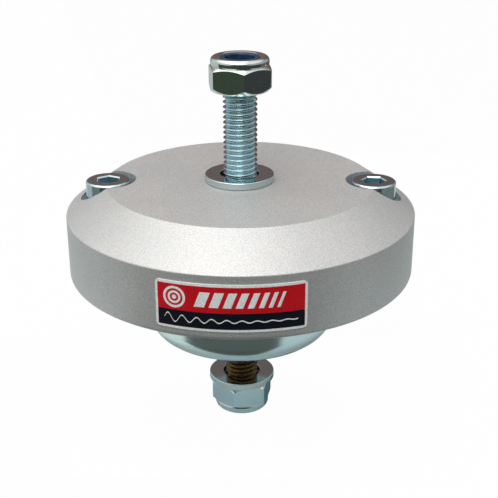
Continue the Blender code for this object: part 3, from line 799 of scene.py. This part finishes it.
def make_washer(name, node, body):
    """Stamped flat washer: a rounder upper edge, a crisp lower one."""
    low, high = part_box(node)
    radius = (high[0] - low[0]) / 2
    profile = ring_profile(WASHER_HOLE_RADIUS, radius, low[2], high[2], WASHER_ROUNDS)
    shift = ((low[0] + high[0]) / 2, 0.0, 0.0)
    washer = add_object(name, turned_shape(profile, SMALL_STEPS), shift)
    dress(washer, body, ZINC, [node])

    def off_axis(middle):
        return math.hypot(middle.x - shift[0], middle.y)

    def in_shaded_hole(middle, normal):
        return off_axis(middle) < WASHER_HOLE_RADIUS + HAIR and normal.z < STEEP

    def on_shaded_rim(middle, normal):
        return off_axis(middle) > radius - WASHER_RIM_DEPTH and abs(normal.z) < STEEP

    # Painted shade: the hole's walls get the very dark hole steel
    repaint(washer, HOLE_SHADE_STEEL, in_shaded_hole)
    # Painted shade: the upper washer's rim gets the darker zinc
    if node == "upper_washer":
        repaint(washer, SHADED_RIM_ZINC, on_shaded_rim)


def hexagon_radius(angle):
    """Distance from the axis to a hexagon's side, with rounded corners."""
    sixth = math.pi / 3
    off_corner = abs((angle + sixth / 2) % sixth - sixth / 2)
    if off_corner >= CORNER_ANGLE:
        return NUT_ACROSS_FLATS / 2 / math.cos(sixth / 2 - off_corner)
    across = HEXAGON_REACH * math.sin(off_corner)
    return HEXAGON_REACH * math.cos(off_corner) + math.sqrt(NUT_CORNER_ROUND**2 - across**2)


def nut_angles():
    """Columns of the nut, closer together at its corners."""
    near = [CORNER_ANGLE * share for share in (0.0, 0.2, 0.4, 0.6, 0.8, 1.0)]
    wide = [math.pi / 3 * share for share in (0.07, 0.10, 0.15, 0.22, 0.32, 0.43)]
    half = near + wide
    angles = []
    for corner in range(6):
        base = corner * math.pi / 3
        angles += [base + angle for angle in half]
        angles += [base + math.pi / 3 - angle for angle in reversed(half[1:])]
    return angles


def make_nut(name, node, body, place, flip, turn):
    """M10 lock nut: chamfered hexagon below, round dished crown above."""
    hexagon_top = NUT_HEIGHT - CROWN_HEIGHT
    bore = STUD_CREST + THREAD_GAP
    recess = INSERT_OUTER_RADIUS + SEAT_GAP
    lip_low = NUT_HEIGHT - CROWN_LIP_THICKNESS
    bulge = []
    for degrees in CROWN_BULGE:
        angle = math.radians(degrees)
        radius = CROWN_RADIUS - CROWN_ROUND + CROWN_ROUND * math.cos(angle)
        bulge.append((radius, NUT_HEIGHT - CROWN_ROUND + CROWN_ROUND * math.sin(angle)))
    crown = rounded([
        (CROWN_LIP_RADIUS, lip_low),
        (CROWN_LIP_RADIUS, NUT_HEIGHT - CROWN_DISH, CROWN_LIP_ROUND),
        *bulge,
        (CROWN_RADIUS, hexagon_top + NECK_HEIGHT, NECK_ROUND),
        (NECK_RADIUS, hexagon_top),
    ], closed=False)

    def upper_edge(angle):
        return hexagon_top - (hexagon_radius(angle) - NECK_RADIUS) * CROWN_SLOPE

    def lower_edge(angle):
        return (hexagon_radius(angle) - NUT_FACE_RADIUS) * NUT_FACE_SLOPE

    rows = crown + [
        (hexagon_radius, upper_edge),
        (hexagon_radius, lambda angle: upper_edge(angle) - NUT_EDGE_STRIP),
        (hexagon_radius, lambda angle: lower_edge(angle) + NUT_EDGE_STRIP),
        (hexagon_radius, lower_edge),
        (NUT_FACE_RADIUS, 0.0),
        (bore + NUT_BORE_CHAMFER, 0.0),
        (bore, NUT_BORE_CHAMFER),
        (bore, INSERT_SEAT),
        (recess, INSERT_SEAT),
        (recess, lip_low),
    ]
    shape = column_shape(rows, nut_angles())
    nut = add_object(name, shape, place, flip, turn + HEXAGON_START)
    dress(nut, body, NUT_ZINC, [node], NUT_EDGE)

    # Painted shade: the bore and the faces next to it get the very dark hole steel
    def bored(middle, normal):
        return math.hypot(middle.x, middle.y) < bore + NUT_BORE_SHADE_DEPTH

    repaint(nut, HOLE_SHADE_STEEL, bored)


def make_insert(name, node, body, place, flip):
    """Nylon locking ring of a nut, whose collar fills the crown's lip."""
    low = INSERT_SEAT + SEAT_GAP
    high = low + INSERT_THICKNESS
    collar_radius = CROWN_LIP_RADIUS - COLLAR_GAP
    collar_top = NUT_HEIGHT - COLLAR_DROP
    profile = rounded([
        (INSERT_BORE_RADIUS, collar_top, COLLAR_BORE_ROUND),
        (collar_radius, collar_top, COLLAR_LIP_ROUND),
        (collar_radius, high),
        (INSERT_OUTER_RADIUS, high, INSERT_ROUND),
        (INSERT_OUTER_RADIUS, low, INSERT_ROUND),
        (INSERT_BORE_RADIUS, low, INSERT_BORE_ROUND),
    ])
    insert = add_object(name, turned_shape(profile, SMALL_STEPS), place, flip)
    dress(insert, body, NYLON, [node])


# Cup, plates, pin and rubber

def make_cup():
    """Deep-drawn cup with a flat seat, a rounded corner and an outward flange."""
    inner = CUP_RADIUS - CUP_WALL
    seat = CUP_LOW[2]
    profile = rounded([
        (inner, CUP_HIGH[2], CUP_BEND),
        (FLANGE_RADIUS, CUP_HIGH[2], INNER_EDGE_ROUND),
        (FLANGE_RADIUS, CUP_HIGH[2] - CUP_WALL, INNER_EDGE_ROUND),
        (CUP_RADIUS, CUP_HIGH[2] - CUP_WALL, CUP_BEND / 2),
        (CUP_RADIUS, seat, CUP_CORNER),
        (STUD_HOLE_RADIUS, seat, INNER_EDGE_ROUND),
        (STUD_HOLE_RADIUS, seat + CUP_WALL, INNER_EDGE_ROUND),
        (inner, seat + CUP_WALL, CUP_CORNER - CUP_WALL),
    ])
    cup = add_object("lower_cup_pressing", turned_shape(profile))
    dress(cup, BASE, CUP_ZINC, ["lower_cup"])


def make_plates_and_pin():
    """The two bonded plates, and the pin that keeps the upper one from turning."""
    for name, low, high, body in (
        ("upper_plate", UPPER_PLATE_LOW, UPPER_PLATE_HIGH, HOUSING),
        ("lower_plate", LOWER_PLATE_LOW, LOWER_PLATE_HIGH, BASE),
    ):
        profile = ring_profile(STUD_HOLE_RADIUS, high[0], low[2], high[2])
        plate = add_object(name + "_disc", turned_shape(profile, SMALL_STEPS))
        if body == HOUSING:
            cut_pin_hole(plate, PIN_HIGH[2])
        dress(plate, body, ZINC, [name])
    profile = disc_profile(PIN_RADIUS, PIN_LOW[2], PIN_HIGH[2], PIN_ROUNDS)
    shape = turned_shape(profile, PIN_STEPS)
    pin = add_object("dowel_pin_ground", shape, (0.0, PIN_Y, 0.0))
    dress(pin, HOUSING, ZINC, ["dowel_pin"])


def make_rubber():
    """Waisted rubber block round both studs' heads, and the two flat rubber rings."""
    low, high = RUBBER_LOW[2], RUBBER_HIGH[2]
    waist = (low + high) / 2
    pocket = STUD_HEAD_RADIUS + HOLE_GAP
    swaying_pocket = STUD_HEAD_RADIUS + SWAY_ROOM
    depth = STUD_HEAD_HEIGHT + HOLE_GAP
    profile = rounded([
        (0.0, high - depth),
        (swaying_pocket, high - depth),
        (swaying_pocket, high),
        (RUBBER_TOP_RADIUS, high, INNER_EDGE_ROUND),
        (RUBBER_TOP_RADIUS, high - RUBBER_LAND, RUBBER_LAND),
        (RUBBER_WAIST_RADIUS, waist + RUBBER_WAIST_REACH, RUBBER_WAIST_ROUND),
        (RUBBER_WAIST_RADIUS, waist - RUBBER_WAIST_REACH, RUBBER_WAIST_ROUND),
        (RUBBER_FOOT_RADIUS, low + RUBBER_LAND, RUBBER_LAND),
        (RUBBER_FOOT_RADIUS, low, INNER_EDGE_ROUND),
        (pocket, low),
        (pocket, low + depth),
        (0.0, low + depth),
    ], closed=False)
    shape = turned_shape(profile, SMALL_STEPS)
    block = add_object("main_rubber_block", shape)
    shade(block, SHARP_ANGLE)
    block.data.materials.append(RUBBER)
    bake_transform(block)
    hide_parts("main_rubber")
    for name, ring_low, ring_high, body in (
        ("bump_ring", BUMP_LOW, BUMP_HIGH, BASE),
        ("rebound_ring", REBOUND_LOW, REBOUND_HIGH, "rebound"),
    ):
        profile = ring_profile(RUBBER_RING_BORE, ring_high[0], ring_low[2], ring_high[2])
        ring = add_object(name + "_moulded", turned_shape(profile, SMALL_STEPS))
        dress(ring, body, RUBBER, [name])


# Printed film

def wrap(name, faces, level, thickness, material, nodes=()):
    """Lay flat (along, up) faces round the cover as a thin closed film."""
    shape = bmesh.new()
    for face in faces:
        shape.faces.new([shape.verts.new((u, v, 0.0)) for u, v in face])
    bmesh.ops.remove_doubles(shape, verts=shape.verts, dist=WELD_DISTANCE)
    step = 2 * math.pi * COVER_RADIUS / ROUND_STEPS
    first = math.floor(LABEL_LEFT / step)
    last = math.ceil(LABEL_RIGHT / step)
    for i in range(first, last + 1):
        split(shape, (i * step, 0.0, 0.0), (1.0, 0.0, 0.0), clear_outer=False)
    drawn = bmesh.ops.extrude_face_region(shape, geom=shape.faces[:])["geom"]
    outside = {item for item in drawn if isinstance(item, bmesh.types.BMVert)}
    for vert in shape.verts:
        radius = COVER_RADIUS + level
        if vert in outside:
            radius += thickness
        angle = vert.co.x / COVER_RADIUS
        height = vert.co.y
        vert.co = (radius * math.sin(angle), -radius * math.cos(angle), height)
    bmesh.ops.recalc_face_normals(shape, faces=shape.faces)
    piece = add_object(name, shape)
    dress(piece, HOUSING, material, nodes)


def rectangle(left, bottom, right, top, corner):
    """A round-cornered rectangle, counterclockwise."""
    return rounded(
        [(left, bottom, corner), (right, bottom, corner), (right, top, corner), (left, top, corner)]
    )


def ring_faces(centre, inner, outer, steps):
    """A flat ring in short stretches, or a disc in wedges where its inner radius is 0."""
    faces = []
    for i in range(steps):
        a = 2 * math.pi * i / steps
        b = 2 * math.pi * (i + 1) / steps
        corners = [(inner, a), (outer, a), (outer, b), (inner, b)]
        face = [(centre[0] + r * math.cos(t), centre[1] + r * math.sin(t)) for r, t in corners]
        if inner <= 0.0:
            face = face[:3]
        faces.append(face)
    return faces


def wave_faces(left, right, middle):
    """A line that swings less and less from left to right."""
    def level(share):
        fade = math.exp(-WAVE_DECAY * share)
        return middle + WAVE_HEIGHT * fade * math.sin(2 * math.pi * WAVE_COUNT * share)

    faces = []
    for i in range(WAVE_STEPS):
        shares = (i / WAVE_STEPS, (i + 1) / WAVE_STEPS)
        ends = [(left + (right - left) * share, level(share)) for share in shares]
        below = [(u, v - WAVE_WEIGHT / 2) for u, v in ends]
        above = [(u, v + WAVE_WEIGHT / 2) for u, v in reversed(ends)]
        faces.append(below + above)
    return faces


def make_label():
    """White film with a red field over a navy band, and plain rings, bars and a wave."""
    base = [rectangle(LABEL_LEFT, LABEL_BOTTOM, LABEL_RIGHT, LABEL_TOP, LABEL_CORNER)]
    print_level = LAYER + FILM_THICKNESS + LAYER_GAP
    motif_level = print_level + LAYER + LAYER_GAP
    wrap("label_base", base, LAYER_GAP, FILM_THICKNESS + LAYER, INK_WHITE, ["label"])
    red = [rectangle(FIELD_LEFT, BAND_TOP, FIELD_RIGHT, FIELD_TOP, FIELD_CORNER)]
    wrap("label_red_field", red, print_level, LAYER, INK_RED)
    navy_top = BAND_TOP - 2 * LAYER_GAP
    navy = [rectangle(FIELD_LEFT, FIELD_BOTTOM, FIELD_RIGHT, navy_top, FIELD_CORNER)]
    wrap("label_navy_band", navy, print_level, LAYER, INK_NAVY)

    middle = (BAND_TOP + FIELD_TOP) / 2
    centre = (FIELD_LEFT + RINGS_INSET, middle)
    motif = []
    for inner, outer, steps in RINGS:
        motif += ring_faces(centre, inner, outer, steps)
    bar_low, bar_high = middle - BAR_REACH, middle + BAR_REACH
    left = centre[0] + BARS_INSET
    for i in range(BAR_COUNT):
        right = left + BAR_WIDTH - i * BAR_NARROWING
        upper = [(right + BAR_LEAN, bar_high), (left + BAR_LEAN, bar_high)]
        motif.append([(left, bar_low), (right, bar_low), *upper])
        left = right + BAR_SPACE
    wrap("label_rings_and_bars", motif, motif_level, LAYER, INK_WHITE)

    band_middle = (FIELD_BOTTOM + navy_top) / 2
    wave = wave_faces(FIELD_LEFT + WAVE_INSET, FIELD_RIGHT - WAVE_INSET, band_middle)
    wrap("label_wave", wave, motif_level, LAYER, INK_WHITE)


# Studio

WHITE = (1.0, 1.0, 1.0, 1.0)
ROOM_FRONT = (0.05, 0.055, 0.055)
ROOM_BACK_LEFT = (0.19, 0.135, 0.13)
ROOM_BACK_RIGHT = (0.145, 0.10, 0.096)
ROOM_LEFT = (0.62, 0.68, 0.68)
ROOM_RIGHT = (0.37, 0.42, 0.44)
ROOM_ABOVE_LEFT = (1.27, 1.26, 1.24)
ROOM_ABOVE_RIGHT = (0.93, 0.92, 0.915)
ROOM_ABOVE_BACK = (0.42, 0.40, 0.39)
FLOOR_COLOUR = (0.55, 0.62, 0.63)
FLOOR_WHITE_SHARE = 0.985
FLOOR_REACH = 3.0

# Between which shares of a direction one part of the room goes over into the next
LEFT_TO_RIGHT = (-0.4, 0.4)
FRONT_TO_BACK = (-0.25, 0.35)
MIDDLE_TO_SIDES = (0.35, 0.80)
ABOVE_LEFT_TO_RIGHT = (-0.6, 0.6)
ABOVE_TO_BACK = (0.30, 0.70)
WALLS_TO_ABOVE = (0.44, 0.58)
ABOVE_LEAN = -0.08  # the edge of what is above lies a little higher behind

# Soft boxes, all aimed at one point: place, size and radiance
LIGHTS_AIM = (0.0, 0.0, 0.06)
SOFT_BOXES = {
    "soft_box_above": ((-0.12, 0.0, 0.62), (0.50, 0.50), 1.0),
    "soft_box_front": ((-0.05, -0.56, 0.53), (0.9, 0.45), 0.35),
    "soft_box_near": ((-0.03, -0.20, 0.34), (0.2, 0.2), 2.3),
}

# Painted reflections and painted shade: matt patches on the floor that only reflections see and
# that cast no shadow, each over the one before: colour and outline, in millimetres
PATCH_THICKNESS = 0.03 * MM
PAINTED_FLOOR_PATCHES = {
    # Painted shade: dark patches far in front, which the metal reflects as a dark room
    "painted_shade_front_left": (
        (0.009, 0.028, 0.007),
        [(0, -150), (-170, -150), (-170, -20), (-2900, -20), (-2900, -2900), (0, -2900)],
    ),
    "painted_shade_front_right": (
        (0.009, 0.016, 0.021),
        [(0, -150), (0, -2900), (2900, -2900), (2900, -20), (170, -20), (170, -150)],
    ),
    # Painted reflection: a brownish floor behind
    "painted_reflection_back": (
        (0.12, 0.085, 0.075),
        [(-70, 260), (420, 260), (420, -20), (2900, -20), (2900, 2900), (-780, 2900)],
    ),
    # Painted shade: a dark wedge in front of the mount
    "painted_shade_near": (
        (0.075, 0.083, 0.076),
        [(-85, -43), (-170, -95), (-170, -150), (170, -150), (170, -115), (65, -68), (12, -40)],
    ),
    # Painted reflections: patches at the sides and beside the cup
    "painted_reflection_side_left": ((0.135, 0.16, 0.16), [(-170, -230), (-170, -20), (-300, -20), (-300, -230)]),
    "painted_reflection_stripe": ((0.40, 0.45, 0.45), [(-170, -20), (-170, 140), (-420, 140), (-420, -20)]),
    "painted_reflection_side_right": ((0.16, 0.18, 0.165), [(170, -230), (300, -230), (300, 140), (170, 140)]),
    "painted_reflection_cup": ((0.71, 0.75, 0.73), [(-50, -43), (-50, 40), (-140, 40), (-140, -62), (-85, -43)]),
    # Painted shade on the floor under the mount's back
    "painted_shade_under": ((0.30, 0.33, 0.36), [(-60, 44), (60, 44), (60, 110), (-60, 110)]),
    # Painted reflections for the lower washer's rim and the lower nut's facets
    "painted_reflection_rim": (
        (0.68, 0.68, 0.60),
        [(-4, -32), (22, -26), (34, -6), (28, 14), (-28, 14), (-34, -6), (-24, -26)],
    ),
    "painted_reflection_left": (
        (0.60, 0.76, 0.90), [(0, 0), (-4, -25.5), (-18, -18), (-25.5, -6), (-25, 5), (-18, 14)]
    ),
    "painted_reflection_right": ((0.60, 0.82, 0.90), [(0, 0), (-4, -25.5), (12, -22.5), (22, -12), (25, -3)]),
    # Painted shade beside the lower nut
    "painted_shade_by_nut": ((0.20, 0.36, 0.42), [(0, 0), (8.6, -3), (25, -3), (23, 12), (10, 22)]),
}


def add_soft_box(name, place, size, radiance):
    """An area light whose face glows at the given radiance."""
    data = bpy.data.lights.new(name, "AREA")
    data.shape = "RECTANGLE"
    data.size, data.size_y = size
    data.energy = radiance * math.pi * size[0] * size[1]
    light = bpy.data.objects.new(name, data)
    light.location = place
    aim = Vector(LIGHTS_AIM) - Vector(place)
    light.rotation_euler = aim.to_track_quat("-Z", "Y").to_euler()
    bpy.context.scene.collection.objects.link(light)
    light.visible_camera = False


def make_world():
    """White behind the object; round it a room that is dark in front and bright above."""
    world = bpy.data.worlds.new("studio")
    bpy.context.scene.world = world
    world.use_nodes = True
    tree = world.node_tree
    tree.nodes.clear()
    new = tree.nodes.new
    link = tree.links.new

    def remap(value, limits):
        node = new("ShaderNodeMapRange")
        node.interpolation_type = "SMOOTHSTEP"
        fill(node, {"From Min": limits[0], "From Max": limits[1]})
        link(value, node.inputs["Value"])
        return node.outputs["Result"]

    def mix(factor, first, second):
        node = new("ShaderNodeMix")
        node.data_type = "RGBA"
        link(factor, node.inputs["Factor"])
        for socket, value in (("A", first), ("B", second)):
            if isinstance(value, tuple):
                fill(node, {socket: (*value, 1.0)})
            else:
                link(value, node.inputs[socket])
        return node.outputs["Result"]

    coordinates = new("ShaderNodeTexCoord")
    axes = new("ShaderNodeSeparateXYZ")
    link(coordinates.outputs["Generated"], axes.inputs["Vector"])
    sideways = new("ShaderNodeMath")
    sideways.operation = "ABSOLUTE"
    x, y, z = axes.outputs
    link(x, sideways.inputs[0])

    back = mix(remap(x, LEFT_TO_RIGHT), ROOM_BACK_LEFT, ROOM_BACK_RIGHT)
    room = mix(remap(y, FRONT_TO_BACK), ROOM_FRONT, back)
    side = mix(remap(x, LEFT_TO_RIGHT), ROOM_LEFT, ROOM_RIGHT)
    room = mix(remap(sideways.outputs["Value"], MIDDLE_TO_SIDES), room, side)
    above = mix(remap(x, ABOVE_LEFT_TO_RIGHT), ROOM_ABOVE_LEFT, ROOM_ABOVE_RIGHT)
    above = mix(remap(y, ABOVE_TO_BACK), above, ROOM_ABOVE_BACK)
    lean = new("ShaderNodeMath")
    lean.operation = "MULTIPLY_ADD"
    link(y, lean.inputs[0])
    fill(lean, {1: ABOVE_LEAN})
    link(z, lean.inputs[2])
    room = mix(remap(lean.outputs["Value"], WALLS_TO_ABOVE), room, above)

    lit = new("ShaderNodeBackground")
    link(room, lit.inputs["Color"])
    white = new("ShaderNodeBackground")
    fill(white, {"Color": WHITE})
    path = new("ShaderNodeLightPath")
    choose = new("ShaderNodeMixShader")
    link(path.outputs["Is Camera Ray"], choose.inputs["Fac"])
    link(lit.outputs["Background"], choose.inputs[1])
    link(white.outputs["Background"], choose.inputs[2])
    out = new("ShaderNodeOutputWorld")
    link(choose.outputs["Shader"], out.inputs["Surface"])


def make_floor():
    """A wide white floor that keeps a faint shadow."""
    shape = bmesh.new()
    bmesh.ops.create_grid(shape, x_segments=1, y_segments=1, size=FLOOR_REACH)
    floor = add_object("floor", shape, (0.0, 0.0, cad_low[2] - HAIR))
    material = new_material("floor_white")
    tree = material.node_tree
    tree.nodes.clear()
    new = tree.nodes.new
    link = tree.links.new
    diffuse = new("ShaderNodeBsdfDiffuse")
    fill(diffuse, {"Color": (*FLOOR_COLOUR, 1.0)})
    glow = new("ShaderNodeEmission")
    fill(glow, {"Color": WHITE})
    path = new("ShaderNodeLightPath")
    share = new("ShaderNodeMath")
    share.operation = "MULTIPLY"
    fill(share, {1: FLOOR_WHITE_SHARE})
    link(path.outputs["Is Camera Ray"], share.inputs[0])
    mix = new("ShaderNodeMixShader")
    link(share.outputs["Value"], mix.inputs["Fac"])
    link(diffuse.outputs["BSDF"], mix.inputs[1])
    link(glow.outputs["Emission"], mix.inputs[2])
    out = new("ShaderNodeOutputMaterial")
    link(mix.outputs["Shader"], out.inputs["Surface"])
    floor.data.materials.append(material)


def make_painted_patch(name, corners, colour, height):
    """A matt patch on the floor, which only reflections see, for painted reflection and painted
    shade.
    """
    shape = bmesh.new()
    shape.faces.new([shape.verts.new((x, y, height)) for x, y in corners])
    patch = add_object(name, shape)
    material = new_material(name)
    shader = material.node_tree.nodes["Principled BSDF"]
    fill(shader, {"Base Color": (*colour, 1.0), "Roughness": 1.0})
    patch.data.materials.append(material)
    patch.visible_camera = False
    patch.visible_shadow = False


def make_studio():
    """Room, floor, patches of painted reflection and shade, soft boxes and camera."""
    make_world()
    make_floor()
    for i, (name, (colour, outline)) in enumerate(PAINTED_FLOOR_PATCHES.items()):
        corners = [(x * MM, y * MM) for x, y in outline]
        make_painted_patch(name, corners, colour, cad_low[2] + (i + 1) * PATCH_THICKNESS)
    for name, (place, size, radiance) in SOFT_BOXES.items():
        add_soft_box(name, place, size, radiance)

    camera = bpy.data.objects.new("camera", bpy.data.cameras.new("camera"))
    camera.data.sensor_width = SENSOR_WIDTH
    camera.data.lens = FOCAL_LENGTH_PX * SENSOR_WIDTH / IMAGE_SIZE
    camera.data.clip_start = CAMERA_CLIP_START
    camera.matrix_world = (
        Matrix.Rotation(CAMERA_TURN, 4, "Z")
        @ Matrix.Translation(CAMERA_PLACE)
        @ Matrix.Rotation(math.pi / 2 - CAMERA_PITCH_DOWN, 4, "X")
        @ Matrix.Rotation(CAMERA_ROLL, 4, "Z")
    )
    bpy.context.scene.collection.objects.link(camera)
    bpy.context.scene.camera = camera
    bpy.context.scene.view_settings.view_transform = "Standard"


def make_mount():
    """Every piece, each in its place in the frame."""
    make_cover()
    make_retaining_ring()
    make_cap_screw(-1, "left")
    make_cap_screw(1, "right")
    make_stud(
        "upper_stud_threaded", "upper_stud", HOUSING, THREAD_ZINC,
        seat=RUBBER_HIGH[2], end=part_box("upper_stud")[1][2], root_z=UPPER_STUD_ROOT_Z,
    )
    make_stud(
        "lower_stud_threaded", "lower_stud", BASE, YELLOW_ZINC,
        seat=RUBBER_LOW[2], end=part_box("lower_stud")[0][2], root_z=0.0,
    )
    make_washer("upper_washer_stamped", "upper_washer", HOUSING)
    make_washer("lower_washer_stamped", "lower_washer", BASE)

    upper = (0.0, 0.0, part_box("upper_nut")[0][2])
    lower = (0.0, 0.0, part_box("lower_nut")[1][2])
    make_nut("upper_nut_plated", "upper_nut", HOUSING, upper, False, UPPER_NUT_TURN)
    make_nut("lower_nut_plated", "lower_nut", BASE, lower, True, LOWER_NUT_TURN)
    make_insert("upper_nut_nylon", "upper_nut_insert", HOUSING, upper, False)
    make_insert("lower_nut_nylon", "lower_nut_insert", BASE, lower, True)

    make_cup()
    make_plates_and_pin()
    make_rubber()
    make_label()


make_mount()
make_studio()
